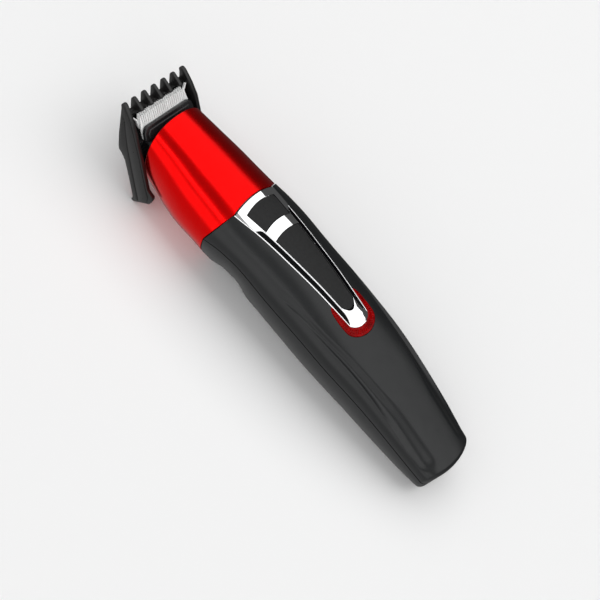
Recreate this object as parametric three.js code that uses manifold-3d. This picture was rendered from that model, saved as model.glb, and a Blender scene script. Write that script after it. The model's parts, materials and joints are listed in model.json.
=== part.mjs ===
// Cordless hair clipper: a pitched handle with a red head cover, a T-blade and a snap-on guide comb.
// Millimetres, +Z up. The clipper lies on its back: the row frame has its origin at the middle of the
// bottom of the bounding box and +X towards the comb. The body is modelled along its own X axis, from
// the tail (x = 0) to the comb (x = 177), with +Z out of the switch side, inside one pitched group.
import * as THREE from 'three';
import { mergeVertices } from 'three/addons/utils/BufferGeometryUtils.js';
import Module from 'manifold-3d';

const wasm = await Module();
wasm.setup();

// ---------- driving dimensions ----------
const DEG = Math.PI / 180;
const PITCH = 7.8 * DEG;            // the handle's slope when it lies on its back
const FLOOR_DROP = 17.45;           // from the body axis origin down to the surface it lies on
const CENTRE_X = 88.555;            // middle of the bounding box along the row's X
const GAP = 0.3;                    // clearance between neighbouring pieces
const WALL = 2.2;                   // shell wall
const BODY_END = 122;               // where the handle meets the head cover
const TAIL_ROUND = 1.8;             // rounding round the tail face
const TAIL_SAG = 2.4;               // how far the tail face bulges
const TAIL_LEAN = 0.15;             // slope of the tail face: its back edge sticks out further
const TAIL_HALF = 12.5;             // half-width over which it bulges

// handle profiles against distance from the tail: half-width, front line, back line, parting line
const HALF_WIDTH = [[0, 13.7], [20, 15.4], [40, 16.9], [63, 18.5], [100, 18.8], [122, 19.4]];
const FRONT_LINE = [[0, 0.2], [12, 1.3], [40, 3.9], [62, 4.9], [80, 4.75], [100, 3.2], [122, -0.4]];
const BACK_LINE = [[0, -16.6], [10, -19.3], [32, -22.4], [55, -24.4], [85, -27.8], [95.5, -29.5],
  [102, -27.2], [109, -28.8], [115, -32.8], [122, -33]];
const PARTING = [[0, -6.8], [39, -4.8], [70, -6.2], [92, -8.3], [105, -8.9], [115, -11.1], [122, -14.3]];
const FRONT_POWER = [[0, 3], [40, 3], [63, 2.4], [100, 2.05], [122, 2.1]];
const BACK_POWER = [[0, 2.3], [40, 2.35], [65, 2.35], [100, 2], [122, 2]];

// flute along each side of the front shell: its upper edge, its crease and its depth
const FLUTE_EDGE = [[0, 9], [7.5, 6.8], [27, 7.3], [40, 9.6], [57, 12], [73, 14], [90, 14.6]];
const FLUTE_CREASE = [[0, 13.2], [16, 14.3], [40, 14.7], [64, 15.8], [90, 17]];
const FLUTE_DEPTH = [[0, 0], [3.5, 0.1], [9, 1.35], [50, 1.2], [72, 0.7], [92, 0]];

// head cover profiles
const COVER_START = BODY_END - 8;     // the cover's shell starts here and is trimmed to the joint
const JOINT_BREAK = -14.3;          // below this height the joint leans towards the tail
const JOINT_LEAN = 0.34;
const COVER_WALL = 1.6;
const COVER_HALF = [[122, 19.3], [136, 18.3], [150, 16.2], [164, 14.2]];
const COVER_FRONT = [[122, -0.5], [136, -2.5], [150, -4.6], [164, -7.1]];
const COVER_BACK = [[114, -28], [122, -29], [136, -32.5], [164, -33]];
const COVER_MIDDLE = [[122, -15.5], [136, -17.4], [164, -17.5]];
const COVER_POWERS = [2.2, 2.3];
const RIM_TOP = [162.6, -7];        // front point of the cover's open rim
const RIM_ANGLE = 64 * DEG;         // slope of the rim plane

// switch trim on the front, drawn in plan
const TRIM_START = 63;
const TRIM_ROUND = 4;
const TRIM_END = BODY_END - 0.15;
const TRIM_RIM = 0.6;
const TRIM_HIGH = 0.3;              // the chrome stands this far above the shell
const BUTTON_START = 110.1;
const BUTTON_END = 119.2;
const INLAY_START = 68;
const INLAY_END = 105.3;
const LENS_START = 60;
const LENS_END = 75;
const CROSS_BULGE = 1.5;            // the pads' cross edges bow towards the head

// head
const BLADE_TIP = [171, -10.4];     // tooth ends of the fixed blade
const BLADE_SLOPE = 38 * DEG;
const BLADE_HALF = 14.75;
const MOVING_HALF = 12.75;
const TOOTH_PITCH = 1.02;
const MOTOR_AXIS = -17;
const MOTOR_RADIUS = 10;
const CRANK = 0.8;                  // eccentric throw

// ---------- materials ----------
const finish = (color, roughness, metalness) =>
  new THREE.MeshStandardMaterial({ color, roughness, metalness });
const softBlack = () => finish(0x2b2c2e, 0.55, 0);
const glossBlack = () => finish(0x101012, 0.15, 0);
const redMetal = () => finish(0xd8121a, 0.25, 0.7);
const chrome = () => finish(0xf2f3f4, 0.06, 1);
const steel = () => finish(0xc9ccce, 0.3, 1);
const brass = () => finish(0xc9a24a, 0.3, 1);
const greenBoard = () => finish(0x1d6b3c, 0.5, 0);

// ---------- small tools ----------
// shape-preserving cubic through a list of [x, value] knots
function along(knots, x) {
  const n = knots.length;
  if (x <= knots[0][0]) return knots[0][1];
  if (x >= knots[n - 1][0]) return knots[n - 1][1];
  let i = 0;
  while (x > knots[i + 1][0]) i += 1;
  const chord = (k) => (knots[k + 1][1] - knots[k][1]) / (knots[k + 1][0] - knots[k][0]);
  const slope = (k) => {
    if (k === 0) return chord(0);
    if (k === n - 1) return chord(n - 2);
    const a = chord(k - 1);
    const b = chord(k);
    return a * b <= 0 ? 0 : 2 * a * b / (a + b);
  };
  const width = knots[i + 1][0] - knots[i][0];
  const t = (x - knots[i][0]) / width;
  const h = t * t * (3 - 2 * t);
  return knots[i][1] * (1 - h) + knots[i + 1][1] * h
    + width * t * (1 - t) * ((1 - t) * slope(i) - t * slope(i + 1));
}

const lerp = (a, b, t) => a + (b - a) * t;

function solid(geometry) {
  const bare = geometry.clone();
  for (const extra of Object.keys(bare.attributes)) {
    if (extra !== 'position') bare.deleteAttribute(extra);
  }
  const merged = mergeVertices(bare, 1e-5);
  const index = merged.index.array;
  const keep = [];
  for (let i = 0; i < index.length; i += 3) {
    const [a, b, c] = [index[i], index[i + 1], index[i + 2]];
    if (a !== b && b !== c && c !== a) keep.push(a, b, c);
  }
  return new wasm.Manifold(new wasm.Mesh({
    numProp: 3,
    vertProperties: new Float32Array(merged.attributes.position.array),
    triVerts: new Uint32Array(keep),
  }));
}

function surfaceOf(body) {
  const mesh = body.getMesh();
  const geometry = new THREE.BufferGeometry();
  geometry.setAttribute('position', new THREE.BufferAttribute(new Float32Array(mesh.vertProperties), 3));
  geometry.setIndex(new THREE.BufferAttribute(new Uint32Array(mesh.triVerts), 1));
  geometry.computeVertexNormals();
  return geometry;
}

function block(x0, x1, y0, y1, z0, z1) {
  const geometry = new THREE.BoxGeometry(x1 - x0, y1 - y0, z1 - z0);
  geometry.translate((x0 + x1) / 2, (y0 + y1) / 2, (z0 + z1) / 2);
  return solid(geometry);
}

function rodX(radius, x0, x1, y, z, sides = 24) {
  const geometry = new THREE.CylinderGeometry(radius, radius, x1 - x0, sides);
  geometry.rotateZ(-Math.PI / 2);
  geometry.translate((x0 + x1) / 2, y, z);
  return solid(geometry);
}

function rodZ(radius, z0, z1, x, y, sides = 20) {
  const geometry = new THREE.CylinderGeometry(radius, radius, z1 - z0, sides);
  geometry.rotateX(Math.PI / 2);
  geometry.translate(x, y, (z0 + z1) / 2);
  return solid(geometry);
}

// a side profile in x and z, extruded from y0 to y1
function slab(points, y0, y1) {
  const shape = new THREE.Shape(points.map(([x, z]) => new THREE.Vector2(x, z)));
  const geometry = new THREE.ExtrudeGeometry(shape, { depth: y1 - y0, bevelEnabled: false });
  geometry.rotateX(Math.PI / 2);
  geometry.translate(0, y1, 0);
  return solid(geometry);
}

// a plan outline in x and y, extruded from z0 to z1
function plate(points, z0, z1) {
  const shape = new THREE.Shape(points.map(([x, y]) => new THREE.Vector2(x, y)));
  const geometry = new THREE.ExtrudeGeometry(shape, { depth: z1 - z0, bevelEnabled: false });
  geometry.translate(0, 0, z0);
  return solid(geometry);
}

// a closed skin over a stack of rings; ringAt(i, j) gives the point j of ring i
function loft(rings, sides, ringAt) {
  const geometry = new THREE.CylinderGeometry(1, 1, 1, sides, rings - 1);
  const at = geometry.attributes.position;
  const step = sides + 1;
  for (let i = 0; i < rings; i += 1) {
    for (let j = 0; j <= sides; j += 1) {
      at.setXYZ(i * step + j, ...ringAt(i, j % sides));
    }
  }
  // the two caps follow: for each side a centre, then the rim
  let k = rings * step;
  for (const ring of [0, rings - 1]) {
    const middle = [0, 0, 0];
    for (let j = 0; j < sides; j += 1) {
      ringAt(ring, j).forEach((value, axis) => { middle[axis] += value / sides; });
    }
    for (let j = 0; j < sides; j += 1) {
      at.setXYZ(k, ...middle);
      k += 1;
    }
    for (let j = 0; j <= sides; j += 1) {
      at.setXYZ(k, ...ringAt(ring, j % sides));
      k += 1;
    }
  }
  const body = solid(geometry);
  if (body.volume() > 0) return body;
  return flip(geometry);
}

function flip(geometry) {
  const index = geometry.index.array;
  for (let i = 0; i < index.length; i += 3) {
    [index[i + 1], index[i + 2]] = [index[i + 2], index[i + 1]];
  }
  return solid(geometry);
}

// ---------- handle surface ----------
function handlePoint(u, angle, inset, fluted) {
  const round = u < TAIL_ROUND ? TAIL_ROUND - Math.sqrt(TAIL_ROUND ** 2 - (TAIL_ROUND - u) ** 2) : 0;
  const less = inset + round;
  const half = along(HALF_WIDTH, u) - less;
  const middle = along(PARTING, u);
  const upper = Math.sin(angle) >= 0;
  const height = (upper ? along(FRONT_LINE, u) - middle : middle - along(BACK_LINE, u)) - less;
  const power = along(upper ? FRONT_POWER : BACK_POWER, u);
  const c = Math.cos(angle);
  const s = Math.sin(angle);
  let y = half * Math.sign(c) * Math.abs(c) ** (2 / power);
  let z = middle + height * Math.sign(s) * Math.abs(s) ** (2 / power);
  if (fluted && upper) {
    const from = along(FLUTE_EDGE, u);
    const t = (Math.abs(y) - from) / (along(FLUTE_CREASE, u) - from);
    if (t > 0 && t < 1) {
      const depth = along(FLUTE_DEPTH, u) * 6.75 * t * t * (1 - t);
      const ny = Math.abs(y / half) ** (power - 1) / half * Math.sign(y);
      const nz = Math.abs((z - middle) / height) ** (power - 1) / height;
      const length = Math.hypot(ny, nz);
      y -= depth * ny / length;
      z -= depth * nz / length;
    }
  }
  const bow = TAIL_SAG * (y / TAIL_HALF) ** 2 + TAIL_LEAN * (z + 7);
  return [u + bow * Math.max(0, 1 - u / 20) ** 2, y, z];
}

function handleSolid(stations, sides, inset, fluted) {
  return loft(stations.length, sides, (i, j) =>
    handlePoint(stations[i], j / sides * 2 * Math.PI, inset, fluted));
}

// height of the front surface over the point (x, y)
function frontSurface(x, y) {
  const middle = along(PARTING, x);
  const height = along(FRONT_LINE, x) - middle;
  const power = along(FRONT_POWER, x);
  const across = Math.min(0.98, Math.abs(y / along(HALF_WIDTH, x)));
  return middle + height * (1 - across ** power) ** (1 / power);
}

// a plate that follows the front surface between two offsets, with half-width half(x)
function draped(x0, x1, half, low, high, bulge = 0, columns = 8) {
  const rows = Math.max(4, Math.round((x1 - x0) / 3));
  const geometry = new THREE.BoxGeometry(1, 1, 1, rows, columns, 1);
  const at = geometry.attributes.position;
  for (let i = 0; i < at.count; i += 1) {
    const t = (1 - Math.cos((at.getX(i) + 0.5) * Math.PI)) / 2;
    const x = lerp(x0, x1, t);
    const y = 2 * at.getY(i) * half(x);
    const bowed = x + bulge * (1 - (y / 8) ** 2);
    at.setXYZ(i, bowed, y, frontSurface(Math.min(bowed, BODY_END), y) + (at.getZ(i) > 0 ? high : low));
  }
  return solid(geometry);
}

// ---------- plan outlines of the trim ----------
const rounded = (x, start, round) =>
  Math.sqrt(Math.max(0.02, 1 - Math.max(0, 1 - (x - start) / round) ** 2));
const trimTaper = (x) => Math.min(11.2, 6.7 + 0.097 * (x - 76));
const trimHalf = (x) => trimTaper(x) * rounded(x, TRIM_START, TRIM_ROUND);
const padHalf = (x) => 6.6 + 0.088 * (x - 107);
// half-width of the raised strip that carries the pads: it flares out at both ends
const stripHalf = (x) => padHalf(x) + 0.65
  + 2.7 * Math.min(1, Math.max(0, (71 - x) / 4)) ** 1.6
  + 2.2 * Math.min(1.2, Math.max(0, (x - 109.5) / 4)) ** 3;
const lensHalf = (x) => rounded(x, LENS_START, 5.2)
  * (trimTaper(x) + 0.1 + 2.2 * Math.sqrt(Math.max(0.004, 1 - (Math.max(0, x - 64) / (LENS_END - 64)) ** 2)));

// ---------- pieces ----------
const part = new THREE.Group();
const body = new THREE.Group();
body.rotation.y = -PITCH;
body.position.set(-CENTRE_X, 0, FLOOR_DROP);
part.add(body);
const head = new THREE.Group();
head.position.set(BLADE_TIP[0], 0, BLADE_TIP[1]);
head.rotation.y = -BLADE_SLOPE;
body.add(head);

function add(name, shape, material, parent = body) {
  const mesh = new THREE.Mesh(surfaceOf(shape), material);
  mesh.name = name;
  parent.add(mesh);
}

// a rod square to the blade plane, given in the blade's frame and made in the body's
function headRod(radius, z0, z1, x, y) {
  const geometry = new THREE.CylinderGeometry(radius, radius, z1 - z0, 16);
  geometry.rotateX(Math.PI / 2);
  geometry.translate(x, y, (z0 + z1) / 2);
  head.updateMatrix();
  return solid(geometry.applyMatrix4(head.matrix));
}

// a round wire along a smooth path
function wire(radius, points, steps) {
  const circle = new THREE.Shape().absarc(0, 0, radius, 0, 2 * Math.PI);
  const path = new THREE.CatmullRomCurve3(points.map((p) => new THREE.Vector3(...p)));
  return solid(new THREE.ExtrudeGeometry(circle,
    { steps, extrudePath: path, curveSegments: 4, bevelEnabled: false }));
}

// body coordinates of a point given in the blade's own frame
function fromHead([x, z]) {
  const c = Math.cos(BLADE_SLOPE);
  const s = Math.sin(BLADE_SLOPE);
  return [BLADE_TIP[0] + x * c - z * s, BLADE_TIP[1] + x * s + z * c];
}

function stationsFrom(start, end, count) {
  const list = [];
  for (let i = 0; i <= count; i += 1) list.push(lerp(start, end, i / count));
  return list;
}

// ----- the two handle shells -----
const tailStations = [0, 0.25, 0.9, 1.8];
// side profile of everything on the tail side of the joint between handle and cover
const tailSide = (shift) => slab([[-10, 40], [-10, -60],
  [BODY_END + shift - 46 * JOINT_LEAN, JOINT_BREAK - 46],
  [BODY_END + shift, JOINT_BREAK], [BODY_END + shift, 40]], -40, 40);
const outer = handleSolid([...tailStations, ...stationsFrom(6, BODY_END, 21)], 44, 0, true)
  .intersect(tailSide(0));
const inner = handleSolid(stationsFrom(TAIL_ROUND + WALL, BODY_END + 6, 10), 24, WALL, false);
const partingEdge = (shift) => stationsFrom(-6, BODY_END + 4, 26).map((x) => [x, along(PARTING, x) + shift]);
const above = slab([...partingEdge(GAP / 2), [BODY_END + 4, 30], [-6, 30]], -30, 30);
const below = slab([...partingEdge(-GAP / 2), [BODY_END + 4, -60], [-6, -60]], -30, 30);
const shell = outer.subtract(inner);

const trimHole = draped(TRIM_START - GAP, BODY_END + 4, (x) => trimHalf(x + GAP * 0.5) + GAP, -9, 3)
  .add(draped(LENS_START - GAP, LENS_END + GAP, (x) => lensHalf(x + GAP * 0.5) + GAP, -9, 3));
const socketHole = block(-6, 12, -5.3, 5.3, -13.8, -6.9);
const frontBosses = [];
const rearBosses = [];
const SCREWS = [[24, 9.6], [24, -9.6], [100, 11.8], [100, -11.8]];
for (const [x, y] of SCREWS) {
  const seat = along(BACK_LINE, x) * 0.55;
  frontBosses.push(rodZ(2.4, seat + 3.4, frontSurface(x, Math.abs(y) + 2.4) - 1, x, y, 12));
  rearBosses.push(rodZ(2.9, along(BACK_LINE, x) + 4.5, seat + 3, x, y, 12));
}
const screwWay = (x, y, radius) => rodZ(radius, -40, along(BACK_LINE, x) * 0.55 + 9, x, y, 12);
let frontShell = shell.intersect(above).subtract(trimHole).subtract(socketHole);
let rearShell = shell.intersect(below).subtract(socketHole);
SCREWS.forEach(([x, y], i) => {
  frontShell = frontShell.add(frontBosses[i]).subtract(screwWay(x, y, 1.15));
  const ring = outer.intersect(rodZ(2.9, -40, along(BACK_LINE, x) * 0.55 + 3, x, y, 12));
  rearShell = rearShell.add(ring).subtract(screwWay(x, y, 1.5));
  const sink = rodZ(2.5, -40, along(BACK_LINE, x) * 0.55 - 1.2, x, y, 12);
  rearShell = rearShell.subtract(sink);
});
// flat land that the tail end lies on
const floorLine = (x) => [x, -FLOOR_DROP / Math.cos(PITCH) - x * Math.tan(PITCH)];
const land = slab([[-5, -40], floorLine(-5), floorLine(60), [60, -40]], -30, 30);
rearShell = rearShell.subtract(land);
add('front_shell', frontShell, softBlack());
add('rear_shell', rearShell, softBlack());

// ----- housing screws, driven from the back -----
SCREWS.forEach(([x, y], i) => {
  const seat = along(BACK_LINE, x) * 0.55;
  const screw = rodZ(2.1, seat - 3.1, seat - 1.5, x, y, 12)
    .subtract(block(x - 0.35, x + 0.35, y - 1.5, y + 1.5, seat - 4, seat - 2.3))
    .subtract(block(x - 1.5, x + 1.5, y - 0.35, y + 0.35, seat - 4, seat - 2.3))
    .add(rodZ(0.85, seat - 1.6, seat + 8, x, y, 8));
  add(`housing_screw_${i + 1}`, screw, steel());
});

// ----- red head cover -----
function coverPoint(x, angle, inset) {
  const half = along(COVER_HALF, x) - inset;
  const middle = along(COVER_MIDDLE, x);
  const s = Math.sin(angle);
  const c = Math.cos(angle);
  const height = (s >= 0 ? along(COVER_FRONT, x) - middle : middle - along(COVER_BACK, x)) - inset;
  const power = COVER_POWERS[s >= 0 ? 0 : 1];
  return [x, half * Math.sign(c) * Math.abs(c) ** (2 / power),
    middle + height * Math.sign(s) * Math.abs(s) ** (2 / power)];
}
function coverSolid(start, end, inset, count, sides) {
  return loft(count + 1, sides, (i, j) =>
    coverPoint(lerp(start, end, i / count), j / sides * 2 * Math.PI, inset));
}
function behindRim(shift) {
  const d = [Math.cos(RIM_ANGLE), Math.sin(RIM_ANGLE)];
  const at = (t) => [RIM_TOP[0] + shift + d[0] * t, RIM_TOP[1] + d[1] * t];
  return slab([[100, 25], [100, -60], at(-62), at(38)], -30, 30);
}
const cover = coverSolid(COVER_START, 168, 0, 12, 44)
  .subtract(coverSolid(COVER_START - 4, 172, COVER_WALL, 8, 32))
  .intersect(behindRim(0)).subtract(tailSide(GAP));
add('head_cover', cover, redMetal());

// ----- switch trim -----
const CHANNEL = [65.5, 113.8];
const channel = draped(...CHANNEL, (x) => trimHalf(x) - TRIM_RIM, -5, 4, 0, 8)
  .subtract(draped(60, 118, stripHalf, -6, 5, 0, 8));
const buttonHole = draped(BUTTON_START - GAP, BUTTON_END + GAP, (x) => padHalf(x) + GAP, -5, 4, CROSS_BULGE);
const inlayWell = draped(INLAY_START - GAP, INLAY_END + GAP,
  (x) => (padHalf(x) + GAP) * rounded(x, INLAY_START - GAP, 3.4), -0.9, 4, CROSS_BULGE);
const trim = draped(TRIM_START, TRIM_END, trimHalf, -1.6, TRIM_HIGH)
  .subtract(channel).subtract(buttonHole).subtract(inlayWell);
add('switch_trim', trim, chrome());

const PLUNGER = [114.6, 0];
// the backing's two islands fill the channels of the trim almost to its top
const islands = draped(CHANNEL[0] + 1, CHANNEL[1] - GAP, (x) => trimHalf(x) - TRIM_RIM - GAP, -2.2, 0.05)
  .subtract(draped(60, 118, (x) => stripHalf(x) + GAP, -6, 5));
const backing = draped(TRIM_START + 1, TRIM_END - 1, (x) => trimHalf(x) - GAP, -2.5, -1.9)
  .add(islands).subtract(rodZ(1.6, -8, 6, ...PLUNGER));
add('trim_backing', backing, glossBlack());

add('power_button', draped(BUTTON_START, BUTTON_END, padHalf, -1.0, 0.2, CROSS_BULGE), softBlack());
add('grip_inlay', draped(INLAY_START, INLAY_END,
  (x) => padHalf(x) * rounded(x, INLAY_START, 3.4), -0.6, 0.15, CROSS_BULGE), softBlack());

const lens = draped(LENS_START, LENS_END, lensHalf, -1.8, 0.25)
  .subtract(draped(TRIM_START - 2 * GAP, 80, (x) => trimHalf(x + 2 * GAP) + GAP, -5, 4));
add('indicator_lens', lens, finish(0xc4101c, 0.1, 0));

// ----- electronics -----
const BOARD_TOP = -4.1;
add('circuit_board', block(54, 119, -8.6, 8.6, BOARD_TOP - 1.2, BOARD_TOP), greenBoard());
const switchBox = block(111.4, 117.8, -3.2, 3.2, BOARD_TOP + GAP, -2.8)
  .subtract(rodZ(1.4, -3.4, 2, ...PLUNGER));
add('push_switch', switchBox, glossBlack());
add('switch_plunger', rodZ(1, -2.5, frontSurface(...PLUNGER) - 1.3, ...PLUNGER), finish(0xe8e4da, 0.4, 0));
add('status_led', block(58, 60.8, -1.6, 1.6, BOARD_TOP + GAP, -1.8), finish(0xe02020, 0.2, 0));
add('charge_controller', block(88, 94, -2.5, 2.5, BOARD_TOP + GAP, BOARD_TOP + 1.8), glossBlack());
add('capacitor', rodZ(2.5, BOARD_TOP + GAP, -0.9, 80, 0, 16), finish(0x22304a, 0.35, 0.2));

// ----- battery -----
const CELL_Z = -12.7;
const CELL_RADIUS = 7.1;
add('battery_cell', rodX(CELL_RADIUS, 42, 90, 0, CELL_Z, 28).add(rodX(2.7, 90, 91.4, 0, CELL_Z, 16)),
  finish(0x2f7d46, 0.35, 0.1));
const contact = (x0, x1) => block(x0, x1, -4.5, 4.5, CELL_Z - 5, CELL_Z + 6.8);
add('battery_contact_tail', contact(41.1, 41.6), steel());
add('battery_contact_head', contact(91.8, 92.3), steel());
const cradle = block(39, 95, -6.4, 6.4, -18.9, CELL_Z - 2)
  .subtract(rodX(CELL_RADIUS + GAP, 40.6, 92.8, 0, CELL_Z, 28))
  .subtract(block(40.7, 42, -5, 5, -19, 0))
  .subtract(block(91, 92.7, -5, 5, -19, 0));
add('battery_cradle', cradle, glossBlack());

// ----- charging socket in the tail -----
const socket = block(1, 13, -5, 5, -13.5, -7.2).subtract(block(-1, 10, -3.4, 3.4, -12.2, -8.5));
add('charging_socket', socket, glossBlack());
for (const [name, y] of [['socket_pin_left', 1.7], ['socket_pin_right', -1.7]]) {
  add(name, rodX(0.75, 4.5, 9.7, y, -10.35, 12), steel());
}

// ----- motor and drive -----
const can = rodX(MOTOR_RADIUS, 119.5, 143, 0, MOTOR_AXIS, 36)
  .subtract(block(118, 144, -12, 12, MOTOR_AXIS + 7.7, MOTOR_AXIS + 12))
  .subtract(block(118, 144, -12, 12, MOTOR_AXIS - 12, MOTOR_AXIS - 7.7));
add('motor_can', can.subtract(rodX(1.4, 138, 146, 0, MOTOR_AXIS, 16)), steel());
const endCap = rodX(9, 116.6, 119.2, 0, MOTOR_AXIS, 28)
  .subtract(block(110, 122, -12, 12, MOTOR_AXIS + 7, MOTOR_AXIS + 12))
  .subtract(block(110, 122, -12, 12, MOTOR_AXIS - 12, MOTOR_AXIS - 7));
add('motor_end_cap', endCap, finish(0xe9e6dc, 0.5, 0));
for (const [name, y] of [['motor_terminal_left', 5], ['motor_terminal_right', -5]]) {
  add(name, block(112.6, 116.3, y - 1.2, y + 1.2, MOTOR_AXIS - 0.3, MOTOR_AXIS + 0.3), brass());
}
add('motor_shaft', rodX(1, 139, 145.6, 0, MOTOR_AXIS, 16), steel());
const cam = rodX(3.4, 146, 149.4, 0, MOTOR_AXIS, 24).add(rodX(1, 149.2, 153.6, 0, MOTOR_AXIS + CRANK, 16));
add('eccentric_cam', cam, glossBlack());

// ----- motor bracket: a sleeve inside the cover that holds the motor -----
const bracket = coverSolid(124, 141, COVER_WALL + GAP, 4, 36)
  .subtract(rodX(MOTOR_RADIUS + GAP, 100, 160, 0, MOTOR_AXIS, 36))
  .subtract(block(120, 145, -30, 30, MOTOR_AXIS - 3.4, MOTOR_AXIS + 3.4));
const bracketTop = bracket.intersect(block(120, 145, -30, 30, MOTOR_AXIS, 10));
const bracketBottom = bracket.intersect(block(120, 145, -30, 30, -50, MOTOR_AXIS));
add('motor_bracket_front', bracketTop, glossBlack());
add('motor_bracket_back', bracketBottom, glossBlack());

// ----- blade chassis: closes the head and carries the blade -----
const seat = -1.25;
const nose = slab([fromHead([-1.6, seat]), fromHead([-20.4, seat]), fromHead([-20.4, -5.4]),
  fromHead([-14, -5.2]), fromHead([-3.4, -3.4])].reverse(), -13.8, 13.8);
const plug = coverSolid(143.6, 158, COVER_WALL + 2 * GAP, 6, 36).intersect(behindRim(-0.8));
const driveSlot = block(148.2, 170, -5.6, 5.6, MOTOR_AXIS - 4.4, 10).add(block(140, 150, -5, 5, -22, -12));
const seatSpace = slab([fromHead([6, 14]), fromHead([6, seat]), fromHead([-20.4, seat]),
  fromHead([-20.4, 14])], -30, 30);
const neck = slab([[147, -19], [147, -28.4], [151.5, -29.6], fromHead([-18, -5.1]),
  fromHead([-18, seat])], -7.5, 7.5);
const SCREW_AT = [-13.4, 8.2];
const chassis = plug.add(nose).add(neck).subtract(seatSpace).subtract(driveSlot)
  .subtract(headRod(1.3, -4.6, 2, SCREW_AT[0], SCREW_AT[1]))
  .subtract(headRod(1.3, -4.6, 2, SCREW_AT[0], -SCREW_AT[1]));
add('blade_chassis', chassis, glossBlack());

// ----- blades, in the blade frame: tips at x = 0, mating plane at z = 0 -----
function toothRow(root, pitch, count, tipX, toothShare) {
  const points = [];
  const first = -pitch * (count - 1) / 2;
  const tooth = pitch * toothShare / 2;
  for (let i = 0; i < count; i += 1) {
    const y = first + i * pitch;
    if (i > 0) points.push([root, y - tooth - 0.03]);
    points.push([tipX, y - tooth * 0.7]);
    points.push([tipX, y + tooth * 0.7]);
    if (i < count - 1) points.push([root, y + tooth + 0.03]);
  }
  return points;
}
// one side of the fixed blade: the wide end tooth and the waist behind it
const WING = [[-2.7, 12.2], [-1.9, 12.5], [-0.05, BLADE_HALF - 0.3], [0, BLADE_HALF],
  [-2.2, 13], [-4.2, 12.9]];
const wingRight = WING.map(([x, y]) => [x, -y]).reverse();
const fixedBlade = plate([[-17, -11], ...wingRight, ...toothRow(-4.6, TOOTH_PITCH, 23, 0, 0.5), ...WING,
  [-17, 11]], -0.95, 0)
  .subtract(rodZ(1.3, -4, 4, SCREW_AT[0], SCREW_AT[1], 16))
  .subtract(rodZ(1.3, -4, 4, SCREW_AT[0], -SCREW_AT[1], 16));
add('fixed_blade', fixedBlade, steel(), head);
const movingBlade = plate([[-9.4, -MOVING_HALF], [-5.2, -MOVING_HALF],
  ...toothRow(-4.7, TOOTH_PITCH, 24, -0.6, 0.56), [-5.2, MOVING_HALF], [-9.4, MOVING_HALF]], GAP, 1);
add('moving_blade', movingBlade, steel(), head);

for (const [name, side] of [['blade_screw_left', 1], ['blade_screw_right', -1]]) {
  const y = SCREW_AT[1] * side;
  const screw = rodZ(2.2, GAP, 1.5, SCREW_AT[0], y, 20)
    .subtract(block(SCREW_AT[0] - 0.3, SCREW_AT[0] + 0.3, y - 3, y + 3, 0.9, 3))
    .add(rodZ(1, -4.2, 0.6, SCREW_AT[0], y, 12));
  add(name, screw, steel(), head);
}

// carrier: a bar with rounded ends on the moving blade, a drive arm and a fork over the eccentric pin
const BAR_Z = [1.3, 3.1];
const BAR_SIDE = [[-4.7, 11.2], [-5.3, 12.2], [-7, 13], [-9.4, 13.2], [-10.4, 12.2], [-10.7, 10]];
const barOutline = [...BAR_SIDE.map(([x, y]) => [x, -y]), ...BAR_SIDE.reverse()];
head.updateMatrix();
const bar = solid(surfaceOf(plate(barOutline, ...BAR_Z)).applyMatrix4(head.matrix));
const arm = slab([fromHead([-6.5, 1.6]), fromHead([-6.5, 2.9]), [161.2, -12.9], [150, -12.5],
  [150, -14.3], [161, -15.2]], -4.3, 4.3);
const FORK_GAP = 1 + 2 * CRANK + GAP;
const fork = block(150, 152.8, -4.3, 4.3, -20, -13)
  .subtract(block(149, 154, -FORK_GAP, FORK_GAP, -22, -14.3));
add('blade_carrier', bar.add(arm).add(fork), glossBlack());

// leaf spring that presses the carrier on to the blade
const leaf = slab([[149, -9.6], [155, -9.6], [158.4, -11.9], [158.1, -12.2], [154.8, -10],
  [149, -10]], -3, 3);
add('blade_spring', leaf, steel());

// ----- guide comb, in the blade frame -----
const PRONGS = 5;                   // between the two arms, which end in a prong each
const PRONG_PITCH = 5.2;
const PRONG_THICK = 1.44;
const ARM_Y = [15.6, 17.4];
const ARM_LEAN = 0.088;             // ahead of the blade's back edge the arms lean in
const LEAN_START = -5.6;
const tilt = BLADE_SLOPE + PITCH;
// height at which a comb point with this x stands on the floor
const bladeTipHeight = BLADE_TIP[0] * Math.sin(PITCH) + BLADE_TIP[1] * Math.cos(PITCH) + FLOOR_DROP;
const footZ = (x) => -(bladeTipHeight + x * Math.sin(tilt)) / Math.cos(tilt);
const finOutline = [[5.95, -1], [5.2, -0.4], [1.4, 1.9], [0.8, 1.5], [0.8, -2], [-2.4, -4.5], [-12.4, -6.6],
  [-12.4, -8.4], [-10.6, -7.9], [5, -2.6], [5.95, -1.8]];
const armOutline = [[5.95, -1], [5, -0.15], [2, 0.8], [-0.3, 1.35], [LEAN_START, 2.1], [-15, 2], [-22.6, 1.6],
  [-28.3, 1.3], [-29.5, 2], [-31, 3], [-32.1, 2.6], [-34.1, 0.6], [-34.6, footZ(-34.6)],
  [-33.8, footZ(-33.8)], [-32.6, -7.4], [-25.6, -6.9], [-17, -6.6], [-14.6, -7.2], [-12.4, -8.2],
  [-10.9, -7.9], [LEAN_START, -6], [4.4, -2.4], [5.95, -1.8]];
let comb = slab([[0.2, -1.6], [0.2, -3.6], [1.6, -3.8], [1.9, -1.8]], -16, 16)
  .add(slab([[-12.3, -6.8], [-2.4, -4.8], [-1.4, -5.3], [-12.3, -8.2]], -16, 16));
for (let i = 0; i < PRONGS; i += 1) {
  const y = (i - (PRONGS - 1) / 2) * PRONG_PITCH;
  comb = comb.add(slab(finOutline, y - PRONG_THICK / 2, y + PRONG_THICK / 2));
}
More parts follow.
